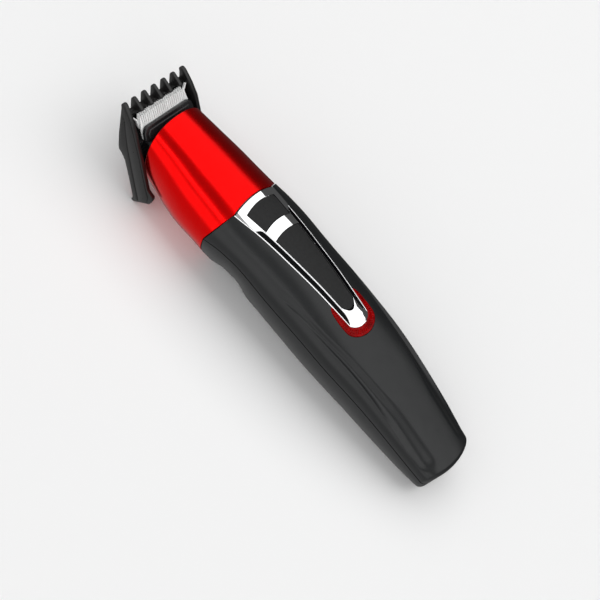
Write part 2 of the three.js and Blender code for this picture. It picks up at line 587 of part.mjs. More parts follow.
for (const side of [1, -1]) {
  const [near, far] = ARM_Y.map((y) => y * side).sort((a, b) => a - b);
  comb = comb.add(slab(armOutline, near, far).warp((point) => {
    point[1] -= side * ARM_LEAN * Math.max(0, point[0] - LEAN_START);
  }));
}
add('guide_comb', comb, softBlack(), head);

// ----- leads -----
for (const [side, y] of [['left', 1], ['right', -1]]) {
  add(`motor_lead_${side}`, wire(0.6, [[112.3, 5 * y, -17], [108.5, 5.4 * y, -16], [104.5, 6.4 * y, -11],
    [103, 7 * y, -6.1]], 10), finish(y > 0 ? 0xb01818 : 0x18181a, 0.5, 0));
  add(`charge_lead_${side}`, wire(0.6, [[13.4, 1.7 * y, -10.35], [18, 2.2 * y, -10], [34, 5 * y, -7],
    [50, 6.2 * y, -6.2], [56, 6.4 * y, -6.1]], 16), finish(y > 0 ? 0xb01818 : 0x18181a, 0.5, 0));
}

export default part;
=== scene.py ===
"""Hair clipper: the looks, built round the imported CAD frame.

Lengths below are millimetres in the handle's own frame: x from the tail (0) to the comb (177), z out of
the switch side. to_row() turns them into the frame's metres.
"""
import json
import math

import bmesh
import bpy
import numpy as np
from mathutils import Matrix, Vector


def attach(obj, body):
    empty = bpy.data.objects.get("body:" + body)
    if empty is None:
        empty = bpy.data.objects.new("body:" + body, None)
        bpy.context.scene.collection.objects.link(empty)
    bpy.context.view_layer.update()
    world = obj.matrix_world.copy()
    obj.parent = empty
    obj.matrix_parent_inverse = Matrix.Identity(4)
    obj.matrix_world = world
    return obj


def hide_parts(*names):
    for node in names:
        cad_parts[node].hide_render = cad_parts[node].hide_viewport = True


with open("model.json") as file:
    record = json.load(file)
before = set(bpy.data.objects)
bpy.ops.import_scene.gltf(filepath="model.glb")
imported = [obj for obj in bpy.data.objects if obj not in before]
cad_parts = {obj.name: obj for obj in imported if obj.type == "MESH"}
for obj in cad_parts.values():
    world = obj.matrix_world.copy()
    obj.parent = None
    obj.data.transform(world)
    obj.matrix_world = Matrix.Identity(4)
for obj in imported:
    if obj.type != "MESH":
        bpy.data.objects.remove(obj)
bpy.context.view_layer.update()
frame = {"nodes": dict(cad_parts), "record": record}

# ---------- driving dimensions ----------
# The handle, cover and blade values are the CAD's. The joint's bow is only here, and the trim, pad and
# lens outlines differ from the CAD's by up to about 1 mm.
PITCH = math.radians(7.8)
FLOOR_DROP = 17.45
CENTRE_X = 88.555
BODY_END = 122
TAIL_ROUND = 1.8
TAIL_SAG = 2.4
TAIL_LEAN = 0.15
TAIL_HALF = 12.5
HALF_WIDTH = [(0, 13.7), (20, 15.4), (40, 16.9), (63, 18.5), (100, 18.8), (122, 19.4)]
FRONT_LINE = [(0, 0.2), (12, 1.3), (40, 3.9), (62, 4.9), (80, 4.75), (100, 3.2), (122, -0.4)]
BACK_LINE = [(0, -16.6), (10, -19.3), (32, -22.4), (55, -24.4), (85, -27.8), (95.5, -29.5),
             (102, -27.2), (109, -28.8), (115, -32.8), (122, -33)]
PARTING = [(0, -6.8), (39, -4.8), (70, -6.2), (92, -8.3), (105, -8.9), (115, -11.1), (122, -14.3)]
FRONT_POWER = [(0, 3), (40, 3), (63, 2.4), (100, 2.05), (122, 2.1)]
BACK_POWER = [(0, 2.3), (40, 2.35), (65, 2.35), (100, 2), (122, 2)]
FLUTE_EDGE = [(0, 9), (7.5, 6.8), (27, 7.3), (40, 9.6), (57, 12), (73, 14), (90, 14.6)]
FLUTE_CREASE = [(0, 13.2), (16, 14.3), (40, 14.7), (64, 15.8), (90, 17)]
FLUTE_DEPTH = [(0, 0), (3.5, 0.1), (9, 1.35), (50, 1.2), (72, 0.7), (92, 0)]
JOINT_BREAK = -14.3
JOINT_LEAN = 0.34
JOINT_BOW = 1.65
JOINT_BOW_HALF = 11
COVER_HALF = [(122, 19.3), (136, 18.3), (150, 16.2), (164, 14.2)]
COVER_FRONT = [(122, -0.5), (136, -2.5), (150, -4.6), (164, -7.1)]
COVER_BACK = [(114, -28), (122, -29), (136, -32.5), (164, -33)]
COVER_MIDDLE = [(122, -15.5), (136, -17.4), (164, -17.5)]
COVER_POWERS = (2.2, 2.3)
RIM_TOP = (162.6, -7)
RIM_ANGLE = math.radians(64)
TRIM_START = 63.1
TRIM_ROUND = 3.2
TRIM_END = 121.85
TRIM_RIM = 0.42
BUTTON = (110.1, 119.2)
INLAY = (69.0, 105.3)
CROSS_BULGE = 1.5
BLADE_TIP = (171, -10.4)
BLADE_SLOPE = math.radians(38)
BLADE_HALF = 14.75
MOVING_HALF = 12.75
TOOTH_PITCH = 1.02


# ---------- frames and profiles ----------
def to_row(points):
    p = np.asarray(points, float)
    c, s = math.cos(PITCH), math.sin(PITCH)
    out = np.empty_like(p)
    out[..., 0] = p[..., 0] * c - p[..., 2] * s - CENTRE_X
    out[..., 1] = p[..., 1]
    out[..., 2] = p[..., 0] * s + p[..., 2] * c + FLOOR_DROP
    return out / 1000


def from_head(points):
    """Blade frame (tips at x = 0, blades' mating plane at z = 0) to the handle's frame."""
    p = np.asarray(points, float)
    c, s = math.cos(BLADE_SLOPE), math.sin(BLADE_SLOPE)
    out = np.empty_like(p)
    out[..., 0] = BLADE_TIP[0] + p[..., 0] * c - p[..., 2] * s
    out[..., 1] = p[..., 1]
    out[..., 2] = BLADE_TIP[1] + p[..., 0] * s + p[..., 2] * c
    return out


def along(knots, x):
    """Shape-preserving cubic through (x, value) knots, on arrays."""
    k = np.array(knots, float)
    xs, vs = k[:, 0], k[:, 1]
    chord = np.diff(vs) / np.diff(xs)
    slope = np.empty(len(xs))
    slope[0], slope[-1] = chord[0], chord[-1]
    a, b = chord[:-1], chord[1:]
    safe = np.where(a + b == 0, 1, a + b)
    slope[1:-1] = np.where(a * b > 0, 2 * a * b / safe, 0)
    x = np.clip(np.asarray(x, float), xs[0], xs[-1])
    i = np.clip(np.searchsorted(xs, x, side="right") - 1, 0, len(xs) - 2)
    width = xs[i + 1] - xs[i]
    t = (x - xs[i]) / width
    h = t * t * (3 - 2 * t)
    bend = width * t * (1 - t) * ((1 - t) * slope[i] - t * slope[i + 1])
    return vs[i] * (1 - h) + vs[i + 1] * h + bend


def handle_section(u):
    """Half-width, middle height, height above and depth below it, and both powers at each station."""
    u = np.asarray(u, float)
    near = np.clip(TAIL_ROUND - u, 0, TAIL_ROUND)
    less = TAIL_ROUND - np.sqrt(TAIL_ROUND ** 2 - near ** 2)
    middle = along(PARTING, u)
    return (along(HALF_WIDTH, u) - less, middle, along(FRONT_LINE, u) - middle - less,
            middle - along(BACK_LINE, u) - less, along(FRONT_POWER, u), along(BACK_POWER, u))


def handle_points(u, angle):
    half, middle, above, below, front_power, back_power = handle_section(u)
    c, s = np.cos(angle), np.sin(angle)
    upper = s >= -1e-9
    power = np.where(upper, front_power, back_power)
    height = np.where(upper, above, below)
    y = half * np.sign(c) * np.abs(c) ** (2 / power)
    z = middle + height * np.sign(s) * np.abs(s) ** (2 / power)
    start = along(FLUTE_EDGE, u)
    t = np.clip((np.abs(y) - start) / (along(FLUTE_CREASE, u) - start), 0, 1)
    depth = np.where(upper, along(FLUTE_DEPTH, u) * 6.75 * t * t * (1 - t), 0)
    ny = np.abs(y / half) ** (power - 1) / half * np.sign(y)
    nz = np.abs((z - middle) / height) ** (power - 1) / height
    length = np.hypot(ny, nz) + 1e-12
    y, z = y - depth * ny / length, z - depth * nz / length
    bow = (TAIL_SAG * (y / TAIL_HALF) ** 2 + TAIL_LEAN * (z + 7)) * np.clip(1 - u / 20, 0, 1) ** 2
    return np.stack(np.broadcast_arrays(u + bow, y, z), -1)


def front_height(x, y):
    x = np.minimum(x, BODY_END)
    middle = along(PARTING, x)
    power = along(FRONT_POWER, x)
    across = np.minimum(0.98, np.abs(y / along(HALF_WIDTH, x)))
    return middle + (along(FRONT_LINE, x) - middle) * (1 - across ** power) ** (1 / power)


def cover_points(x, angle):
    half, middle = along(COVER_HALF, x), along(COVER_MIDDLE, x)
    c, s = np.cos(angle), np.sin(angle)
    height = np.where(s >= 0, along(COVER_FRONT, x) - middle, middle - along(COVER_BACK, x))
    power = np.where(s >= 0, COVER_POWERS[0], COVER_POWERS[1])
    y = half * np.sign(c) * np.abs(c) ** (2 / power)
    z = middle + height * np.sign(s) * np.abs(s) ** (2 / power)
    return np.stack(np.broadcast_arrays(x, y, z), -1)


def joint_x(z):
    """Where the handle ends: straight beside the front, leaning towards the tail on the back."""
    return BODY_END + np.minimum(0, z - JOINT_BREAK) * JOINT_LEAN


def rounded(x, start, radius):
    return np.sqrt(np.clip(1 - np.clip(1 - (x - start) / radius, 0, 1) ** 2, 0.0004, 1))


def trim_taper(x):
    return 5.3 + 0.095 * (x - 64) + 0.4 * np.clip((x - 108) / 14, 0, 1) ** 2


def trim_half(x):
    return trim_taper(x) * rounded(x, TRIM_START, TRIM_ROUND)


def pad_half(x):
    return 6.75 + 0.09 * (x - 107)


def strip_half(x):
    """Half-width of the raised strip that carries the pads: it flares out at both ends."""
    tail_flare = 2.2 * np.clip((69.8 - x) / 4.5, 0, 1) ** 1.8
    head_flare = 2.2 * np.clip((x - 109.5) / 4, 0, 1.2) ** 3
    return pad_half(x) + 0.42 + tail_flare + head_flare


LENS_START = 59.7
LENS_END = 75.3


def lens_half(x):
    arm = 2.5 * np.sqrt(np.clip(1 - (np.maximum(x - 64, 0) / (LENS_END - 64)) ** 2, 0, 1))
    return (trim_taper(x) + 0.1 + arm) * rounded(x, LENS_START, 5.2)


# ---------- mesh tools ----------
def obj_from(name, verts, faces, material, merge=1e-6):
    """A mesh object from points in the handle's millimetres, welded, with its faces turned outwards."""
    mesh = bpy.data.meshes.new(name)
    mesh.from_pydata([tuple(v) for v in to_row(verts)], [], faces)
    bm = bmesh.new()
    bm.from_mesh(mesh)
    bmesh.ops.remove_doubles(bm, verts=bm.verts, dist=merge)
    bmesh.ops.dissolve_degenerate(bm, edges=bm.edges, dist=1e-8)
    bmesh.ops.recalc_face_normals(bm, faces=bm.faces)
    bm.to_mesh(mesh)
    bm.free()
    mesh.materials.append(material)
    obj = bpy.data.objects.new(name, mesh)
    bpy.context.scene.collection.objects.link(obj)
    for polygon in mesh.polygons:
        polygon.use_smooth = True
    return obj


def grid(rows, columns, first=0, wrap=False):
    faces = []
    last = columns if wrap else columns - 1
    for i in range(rows - 1):
        for j in range(last):
            k = (j + 1) % columns
            a, b = first + i * columns, first + (i + 1) * columns
            faces.append((a + j, a + k, b + k, b + j))
    return faces


def outward(obj, centre):
    """Turns an open sheet so that its faces look away from a point, in row metres."""
    bm = bmesh.new()
    bm.from_mesh(obj.data)
    score = 0
    for face in bm.faces:
        middle = face.calc_center_median()
        score += face.normal.dot(middle - Vector((middle.x, 0, centre))) * face.calc_area()
    if score < 0:
        bmesh.ops.reverse_faces(bm, faces=bm.faces)
    bm.to_mesh(obj.data)
    bm.free()


def thicken(obj, depth):
    wall = obj.modifiers.new("wall", "SOLIDIFY")
    wall.thickness = depth / 1000
    wall.offset = -1


def soften(obj, width, segments=2, angle=38):
    edge = obj.modifiers.new("edge", "BEVEL")
    edge.width = width / 1000
    edge.segments = segments
    edge.limit_method = "ANGLE"
    edge.angle_limit = math.radians(angle)
    edge.harden_normals = False
    edge.use_clamp_overlap = True


def settle(obj):
    """Applies the modifiers."""
    bpy.context.view_layer.update()
    graph = bpy.context.evaluated_depsgraph_get()
    mesh = bpy.data.meshes.new_from_object(obj.evaluated_get(graph))
    obj.modifiers.clear()
    old, obj.data = obj.data, mesh
    bpy.data.meshes.remove(old)
    return obj


def keep_creases(obj, angle=35):
    """Smooth shading that breaks at real edges."""
    bm = bmesh.new()
    bm.from_mesh(obj.data)
    for edge in bm.edges:
        if len(edge.link_faces) == 2:
            edge.smooth = edge.calc_face_angle(0) < math.radians(angle)
    bm.to_mesh(obj.data)
    bm.free()
    return obj


def cut_away(obj, points, faces):
    """Takes a closed body, given in the handle's millimetres, out of a mesh."""
    cutter = obj_from("cutter", points, faces, obj.data.materials[0])
    hole = obj.modifiers.new("hole", "BOOLEAN")
    hole.operation = "DIFFERENCE"
    hole.solver = "EXACT"
    hole.object = cutter
    settle(obj)
    mesh = cutter.data
    bpy.data.objects.remove(cutter)
    bpy.data.meshes.remove(mesh)


LATHE_SIDES = 40


def lathed(profile, x, y):
    """Points and faces of a closed (radius, z) profile turned about an upright axis."""
    sides = LATHE_SIDES
    turn = np.linspace(0, 2 * np.pi, sides, endpoint=False)
    r, z = np.array(profile, float).T
    points = np.stack([x + r[:, None] * np.cos(turn), y + r[:, None] * np.sin(turn),
                       z[:, None] + 0 * turn], -1)
    faces = grid(len(profile), sides, wrap=True)
    last = (len(profile) - 1) * sides
    for j in range(sides):
        k = (j + 1) % sides
        faces.append((last + j, last + k, k, j))
    return points.reshape(-1, 3), faces


def finish_piece(obj, body, nodes):
    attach(obj, body)
    if nodes:
        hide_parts(*nodes)
    return obj


# ---------- materials ----------
def node_at(tree, kind, **inputs):
    node = tree.nodes.new(kind)
    for key, value in inputs.items():
        node.inputs[key.replace("_", " ")].default_value = value
    return node


def finish_of(name, colour, roughness, metallic=0.0, grain=(0, 0.0), mottle=0.1, rough_mottle=0.12,
              stretch=(1, 1, 1), specular=0.5, coat=0.0, coat_roughness=0.05, mottle_scale=60):
    """A Principled finish with uneven colour and roughness and a fine grain, all from noise in metres."""
    material = bpy.data.materials.new(name)
    material["slot"] = name
    material.use_nodes = True
    tree = material.node_tree
    shader = tree.nodes["Principled BSDF"]
    shader.inputs["Metallic"].default_value = metallic
    shader.inputs["Specular IOR Level"].default_value = specular
    shader.inputs["Coat Weight"].default_value = coat
    shader.inputs["Coat Roughness"].default_value = coat_roughness
    place = tree.nodes.new("ShaderNodeTexCoord")
    scale = tree.nodes.new("ShaderNodeMapping")
    scale.inputs["Scale"].default_value = stretch
    tree.links.new(place.outputs["Object"], scale.inputs["Vector"])

    cloud = node_at(tree, "ShaderNodeTexNoise", Scale=mottle_scale, Detail=4.0, Roughness=0.6)
    tree.links.new(scale.outputs["Vector"], cloud.inputs["Vector"])
    shade = tree.nodes.new("ShaderNodeMapRange")
    shade.inputs["From Min"].default_value = 0.3
    shade.inputs["From Max"].default_value = 0.7
    shade.inputs["To Min"].default_value = 1 - mottle
    shade.inputs["To Max"].default_value = 1 + mottle
    tree.links.new(cloud.outputs["Fac"], shade.inputs["Value"])
    tint = tree.nodes.new("ShaderNodeVectorMath")
    tint.operation = "SCALE"
    tint.inputs[0].default_value = colour
    tree.links.new(shade.outputs["Result"], tint.inputs["Scale"])
    tree.links.new(tint.outputs["Vector"], shader.inputs["Base Color"])

    patch = node_at(tree, "ShaderNodeTexNoise", Scale=mottle_scale * 3.1, Detail=5.0, Roughness=0.65)
    tree.links.new(scale.outputs["Vector"], patch.inputs["Vector"])
    polish = tree.nodes.new("ShaderNodeMapRange")
    polish.inputs["From Min"].default_value = 0.3
    polish.inputs["From Max"].default_value = 0.7
    polish.inputs["To Min"].default_value = roughness * (1 - rough_mottle)
    polish.inputs["To Max"].default_value = roughness * (1 + rough_mottle)
    tree.links.new(patch.outputs["Fac"], polish.inputs["Value"])
    tree.links.new(polish.outputs["Result"], shader.inputs["Roughness"])

    if grain[0]:
        speck = node_at(tree, "ShaderNodeTexNoise", Scale=grain[0], Detail=2.0, Roughness=0.5)
        tree.links.new(scale.outputs["Vector"], speck.inputs["Vector"])
        bump = tree.nodes.new("ShaderNodeBump")
        bump.inputs["Strength"].default_value = grain[1]
        bump.inputs["Distance"].default_value = 0.0001
        tree.links.new(speck.outputs["Fac"], bump.inputs["Height"])
        tree.links.new(bump.outputs["Normal"], shader.inputs["Normal"])
    return material


soft_black = finish_of("soft_black", (0.0092, 0.0100, 0.0106), 0.32, grain=(2600, 0.08), mottle=0.05,
                       specular=0.36)
pad_rubber = finish_of("pad_rubber", (0.0195, 0.0197, 0.0200), 0.55, grain=(5200, 0.35), mottle=0.12,
                       mottle_scale=900, specular=0.15)
red_metallic = finish_of("red_metallic", (0.80, 0.001, 0.001), 0.22, metallic=0.95, grain=(9000, 0.05),
                         mottle=0.03, coat=0.06, coat_roughness=0.08, specular=0.2)
chrome_trim = finish_of("chrome_trim", (0.93, 0.935, 0.94), 0.045, metallic=1.0, mottle=0.01,
                        rough_mottle=0.35)
gloss_black = finish_of("gloss_black", (0.0015, 0.0015, 0.002), 0.12, specular=0.04, mottle=0.05)
satin_black = finish_of("satin_black", (0.012, 0.012, 0.013), 0.27, grain=(1800, 0.05), mottle=0.08)
comb_black = finish_of("comb_black", (0.0100, 0.0098, 0.0098), 0.30, grain=(1500, 0.10), mottle=0.10,
                       specular=0.4)
red_lens = finish_of("red_lens", (0.24, 0.0004, 0.0008), 0.16, grain=(700, 0.05), mottle=0.5,
                     mottle_scale=400, specular=0.06)
board_green = finish_of("board_green", (0.012, 0.11, 0.035), 0.42, grain=(900, 0.2), mottle=0.2)
white_plastic = finish_of("white_plastic", (0.72, 0.71, 0.68), 0.4, grain=(1200, 0.08), mottle=0.04)
component_blue = finish_of("component_blue", (0.02, 0.06, 0.3), 0.35, mottle=0.08)
battery_sleeve = finish_of("battery_sleeve", (0.02, 0.16, 0.09), 0.3, mottle=0.08, coat=0.4)
steel = finish_of("steel", (0.56, 0.57, 0.58), 0.3, metallic=1.0, grain=(1400, 0.08), mottle=0.06)
blade_steel = finish_of("blade_steel", (0.95, 0.955, 0.95), 0.45, metallic=0.1, grain=(900, 0.12),
                        mottle=0.05, stretch=(0.12, 3, 0.12), rough_mottle=0.25)
brass = finish_of("brass", (0.78, 0.52, 0.2), 0.28, metallic=1.0, mottle=0.08)
red_wire = finish_of("red_wire", (0.5, 0.01, 0.01), 0.4, mottle=0.06)
black_wire = finish_of("black_wire", (0.01, 0.01, 0.01), 0.4, mottle=0.06)
MATERIALS = {m["slot"]: m for m in (
    soft_black, pad_rubber, red_metallic, chrome_trim, gloss_black, satin_black, comb_black, red_lens,
    board_green, white_plastic, component_blue, battery_sleeve, steel, blade_steel, brass, red_wire,
    black_wire)}

# ---------- carried-over CAD nodes: finishes, and softened edges ----------
EDGE_WIDTHS = {"blade_chassis": 0.2, "blade_screw_left": 0.12, "blade_screw_right": 0.12}
INSIDE_EDGE = 0.12
for entry in frame["record"]["subparts"]:
    obj = frame["nodes"][entry["node"]]
    obj.data.materials.clear()
    obj.data.materials.append(MATERIALS[entry["material_slot"]])
    soften(obj, EDGE_WIDTHS.get(entry["node"], INSIDE_EDGE), segments=3)


# ---------- handle shells ----------
SEAM = 0.15
PARTING_GAP = 0.2
SHELL_WALL = 2.0


def angle_at(u, y):
    """Section angle of the point on the front surface whose distance from the middle plane is y."""
    half = handle_section(u)[0]
    across = np.clip(np.abs(y) / half, 0, 1)
    return np.arccos(np.clip(across ** (along(FRONT_POWER, u) / 2), 0, 1))


def open_half(x):
    near = np.where(x < LENS_END, lens_half(np.maximum(x, LENS_START) + SEAM), trim_half(x))
    return np.where(x < LENS_START - SEAM + 1e-6, 0, near + SEAM)


def bowed_end(y):
    """How far the joint bows towards the head across the front."""
    return JOINT_BOW * np.clip(1 - (np.abs(y) / JOINT_BOW_HALF) ** 2, 0, 1)


def handle_stations():
    tail = [0, 0.06, 0.2, 0.4, 0.7, 1.1, 1.5, 1.8, 2.4, 3.2, 4.2]
    middle = list(np.arange(5.3, LENS_START - 0.6, 1.05))
    opening = [LENS_START - SEAM + d for d in
               (0, 0.02, 0.08, 0.18, 0.35, 0.6, 0.95, 1.4, 2.0, 2.7, 3.5, 4.4, 5.4)]
    rest = list(np.arange(66.4, 74.5, 0.9))
    arm_end = [LENS_END - SEAM - d for d in (0.9, 0.45, 0.18, 0.05)] + [LENS_END + 0.02]
    head = list(np.arange(76.2, 108, 1.05)) + list(np.linspace(108, BODY_END, 18))
    return np.array(sorted(tail + middle + opening + rest + arm_end + head))


END_BLEND = 104


def to_joint(u, evaluate, gap):
    """Slides stations near the head so that the last one lies on the joint."""
    share = np.clip((u - END_BLEND) / (BODY_END - END_BLEND), 0, 1)
    moved = u
    for _ in range(4):
        p = evaluate(moved)
        front = np.where(p[..., 2] > -9, bowed_end(p[..., 1]), 0)
        target = joint_x(p[..., 2]) + front - gap
        moved = np.where(share > 0, END_BLEND + share * (target - END_BLEND), u)
    return evaluate(moved)


def with_tail_cap(sheet, innermost):
    """Closes a shell's tail: its first row is repeated towards the parting line."""
    first = sheet[0]
    middle = along(PARTING, 0)
    cap = []
    for share in (innermost, 0.15, 0.35, 0.55, 0.75, 0.92):
        row = first.copy()
        row[:, 2] = middle + (first[:, 2] - middle) * share
        row[:, 0] += TAIL_LEAN * (row[:, 2] - first[:, 2])
        cap.append(row)
    return np.concatenate([np.array(cap), sheet])


def front_shell():
    u = handle_stations()
    base = (PARTING_GAP / handle_section(u)[2]) ** (along(FRONT_POWER, u) / 2)
    crease = np.maximum(angle_at(u, along(FLUTE_CREASE, u)), base + 0.08)
    edge = np.maximum(angle_at(u, along(FLUTE_EDGE, u)), crease + 0.08)
    opening = np.maximum(angle_at(u, open_half(u)), edge + 0.08)
    opening = np.where(open_half(u) == 0, np.pi / 2, opening)
    to_crease = np.concatenate([np.linspace(0, 1, 12) ** 1.8 * 0.9, [0.955, 0.985]])
    past_crease = np.concatenate([[0, 0.012, 0.045], np.linspace(0.1, 1, 13)])
    to_opening = np.linspace(0, 1, 17)[1:]
    angles = np.concatenate([
        base[:, None] + (crease - base)[:, None] * to_crease,
        crease[:, None] + (edge - crease)[:, None] * past_crease,
        edge[:, None] + (opening - edge)[:, None] * to_opening], 1)
    columns = angles.shape[1]
    sheet = to_joint(u[:, None] + 0 * angles, lambda x: handle_points(x, angles), SEAM)
    sheet = with_tail_cap(sheet, 0.012)
    rows = len(sheet)
    mirrored = sheet * np.array([1, -1, 1])
    verts = np.concatenate([sheet.reshape(-1, 3), mirrored.reshape(-1, 3)])
    faces = grid(rows, columns) + grid(rows, columns, rows * columns)
    obj = obj_from("front_shell_skin", verts, faces, soft_black, merge=2e-6)
    outward(obj, to_row([60, 0, -10])[2])
    thicken(obj, SHELL_WALL)
    settle(obj)
    return keep_creases(obj, 42)


def rear_shell():
    u = handle_stations()
    below = handle_section(u)[3]
    base = (PARTING_GAP / below) ** (along(BACK_POWER, u) / 2)
    shares = np.concatenate([np.linspace(0, 1, 9)[:-1] ** 1.6 * 0.12, np.linspace(0.12, 1, 34)])
    shares = np.concatenate([shares / 2, 1 - shares[::-1][1:] / 2])
    angles = -(base[:, None] + (np.pi - 2 * base)[:, None] * shares)
    columns = angles.shape[1]
    lie = -FLOOR_DROP / math.cos(PITCH)

    def evaluate(x):
        p = handle_points(x, angles)
        floor_line = lie - p[..., 0] * math.tan(PITCH)
        p[..., 2] = np.maximum(p[..., 2], floor_line)
        return p
    sheet = to_joint(u[:, None] + 0 * angles, evaluate, SEAM)
    sheet = with_tail_cap(sheet, 0.008)
    obj = obj_from("rear_shell_skin", sheet.reshape(-1, 3), grid(len(sheet), columns), soft_black, merge=2e-6)
    outward(obj, to_row([60, 0, -10])[2])
    thicken(obj, SHELL_WALL)
    settle(obj)
    return keep_creases(obj, 42)


finish_piece(front_shell(), "housing", ["front_shell"])
# charging socket opening in the tail, and the screws' countersunk recesses in the back
SOCKET_X = (-6, 12)
SOCKET_Y = (-5.3, 5.3)
SOCKET_Z = (-13.8, -6)              # reaches past the parting line, so that the opening meets the seam
BOX_FACES = [(0, 1, 3, 2), (4, 6, 7, 5), (0, 4, 5, 1), (2, 3, 7, 6), (0, 2, 6, 4), (1, 5, 7, 3)]
SCREWS = ((24, 9.6), (24, -9.6), (100, 11.8), (100, -11.8))
SINK = 2.5                          # radius of a recess
SINK_CORE = 0.001                   # the cutter isn't closed on its axis, so a sliver this thin stays
SINK_BELOW = -45
SEAT_SHARE = 0.55                   # the screws' seats lie at this share of the back's depth
SEAT_DROP = 1.2
BOSS_WALL = 0.5
BOSS_REACH = 2.9
BOSS_SUNK = 0.9
BOSS_HOLE = 1.5
BOSS_TOP = 0.4

rear = rear_shell()
socket_corners = [(x, y, z) for x in SOCKET_X for y in SOCKET_Y for z in SOCKET_Z]
cut_away(rear, socket_corners, BOX_FACES)
for number, (x, y) in enumerate(SCREWS, 1):
    back = float(along(BACK_LINE, x))
    seat = back * SEAT_SHARE
    recess = [(SINK_CORE, SINK_BELOW), (SINK, SINK_BELOW), (SINK, seat - SEAT_DROP),
              (SINK_CORE, seat - SEAT_DROP)]
    cut_away(rear, *lathed(recess, x, y))
    middle = float(along(PARTING, x))
    power = float(along(BACK_POWER, x))
    across = (abs(y) + BOSS_REACH) / float(along(HALF_WIDTH, x))
    surface = middle + (back - middle) * (1 - across ** power) ** (1 / power)
    outer = SINK + BOSS_WALL
    boss = [(SINK, surface + BOSS_SUNK), (outer, surface + BOSS_SUNK), (outer, seat - BOSS_TOP),
            (BOSS_HOLE, seat - BOSS_TOP), (BOSS_HOLE, seat - SEAT_DROP), (SINK, seat - SEAT_DROP)]
    tube = obj_from(f"screw_boss_{number}", *lathed(boss, x, y), soft_black)
    finish_piece(keep_creases(tube), "housing", [])
finish_piece(keep_creases(rear, 42), "housing", ["rear_shell"])


# ---------- red head cover ----------
def rim_x(z):
    return RIM_TOP[0] + (z - RIM_TOP[1]) / math.tan(RIM_ANGLE)


def head_cover():
    columns = 144
    angles = np.linspace(0, 2 * np.pi, columns, endpoint=False)
    rows = 60
    sheet = np.empty((rows, columns, 3))
    shares = np.concatenate([np.linspace(0, 0.03, 4)[:-1], np.linspace(0.03, 0.97, rows - 6),
                             [0.985, 0.994, 1]])
    start = np.full(columns, 122.0)
    end = np.full(columns, 160.0)
    for _ in range(30):
        p = cover_points(start, angles)
        front = np.where(p[:, 2] > -9, bowed_end(p[:, 1]), 0)
        start = joint_x(p[:, 2]) + front + SEAM
        q = cover_points(end, angles)
        end = 0.5 * end + 0.5 * rim_x(q[:, 2])
    for i, share in enumerate(shares):
        sheet[i] = cover_points(start + (end - start) * share, angles)
    obj = obj_from("head_cover_skin", sheet.reshape(-1, 3), grid(rows, columns, wrap=True), red_metallic)
    outward(obj, to_row([142, 0, -17])[2])
    thicken(obj, 1.5)
    settle(obj)
    soften(obj, 0.3, 3, 50)
    settle(obj)
    return keep_creases(obj, 42)


finish_piece(head_cover(), "housing", ["head_cover"])


# ---------- draped plates on the front ----------
def round_drop(distance, radius):
    """How far a rounded edge has fallen at this distance in from it."""
    return radius - np.sqrt(radius ** 2 - (radius - np.clip(distance, 0, radius)) ** 2)


EDGE_STEPS = np.array([0, 0.04, 0.13, 0.28, 0.5, 0.75, 1.0])


def closed_plate(name, top, bottom, material, crease=40):
    """A closed body between two grids of points."""
    rows, columns = top.shape[:2]
    count = rows * columns
    faces = grid(rows, columns)
    faces += [tuple(count + k for k in reversed(f)) for f in grid(rows, columns)]
    ring = [(i, 0) for i in range(rows)] + [(rows - 1, j) for j in range(1, columns)]
    ring += [(i, columns - 1) for i in range(rows - 2, -1, -1)] + [(0, j) for j in range(columns - 2, 0, -1)]
    index = [i * columns + j for i, j in ring]
    for a, b in zip(index, index[1:] + index[:1]):
        faces.append((a, b, b + count, a + count))
    verts = np.concatenate([top.reshape(-1, 3), bottom.reshape(-1, 3)])
    obj = obj_from(name, verts, faces, material)
    return keep_creases(obj, crease)


def draped_plate(name, x0, x1, half, low, high, material, bulge=CROSS_BULGE, edge=0.3, corners=(0.5, 0.5),
                 dish=0.0, step=1.0, wide=24):
    ends = EDGE_STEPS * edge
    count = max(4, int((x1 - x0 - 2 * edge) / step))
    x = np.concatenate([x0 + ends, np.linspace(x0 + edge, x1 - edge, count + 1)[1:-1], x1 - ends[::-1]])
    tail = np.clip(corners[0] - (x - x0), 0, corners[0]) if corners[0] else 0 * x
    head = np.clip(corners[1] - (x1 - x), 0, corners[1]) if corners[1] else 0 * x
    less = sum(c - np.sqrt(np.maximum(c * c - d * d, 0)) for c, d in ((corners[0], tail), (corners[1], head)))
    w = np.maximum(half(x) - less, 0.02)
    inset = np.minimum(1, w / (2.2 * edge))[:, None] * ends
    inner = (w - inset[:, -1])[:, None] * np.linspace(-1, 1, wide + 1)[None, 1:-1]
    y = np.concatenate([-(w[:, None] - inset), inner, (w[:, None] - inset)[:, ::-1]], 1)
    side = w[:, None] - np.abs(y)
    along_x = np.minimum(x - x0, x1 - x)[:, None] + 0 * y
    near = np.minimum(side, along_x)
    both = (side < edge) & (along_x < edge)
    corner = edge - np.hypot(edge - side, edge - along_x)
    near = np.where(both, np.maximum(corner, 0), near)
    xx = x[:, None] + bulge * (1 - (y / 8) ** 2)
    crown = dish * np.clip(1 - (y / np.maximum(w[:, None], 0.5)) ** 2, 0, 1)
    base = front_height(xx, y)
    top = np.stack([xx, y, base + high - crown - round_drop(near, edge)], -1)
    bottom = np.stack([xx, y, base + low], -1)
    return closed_plate(name, top, bottom, material)


def inlay_half(x):
    return pad_half(x) * rounded(x, INLAY[0], 3.4)


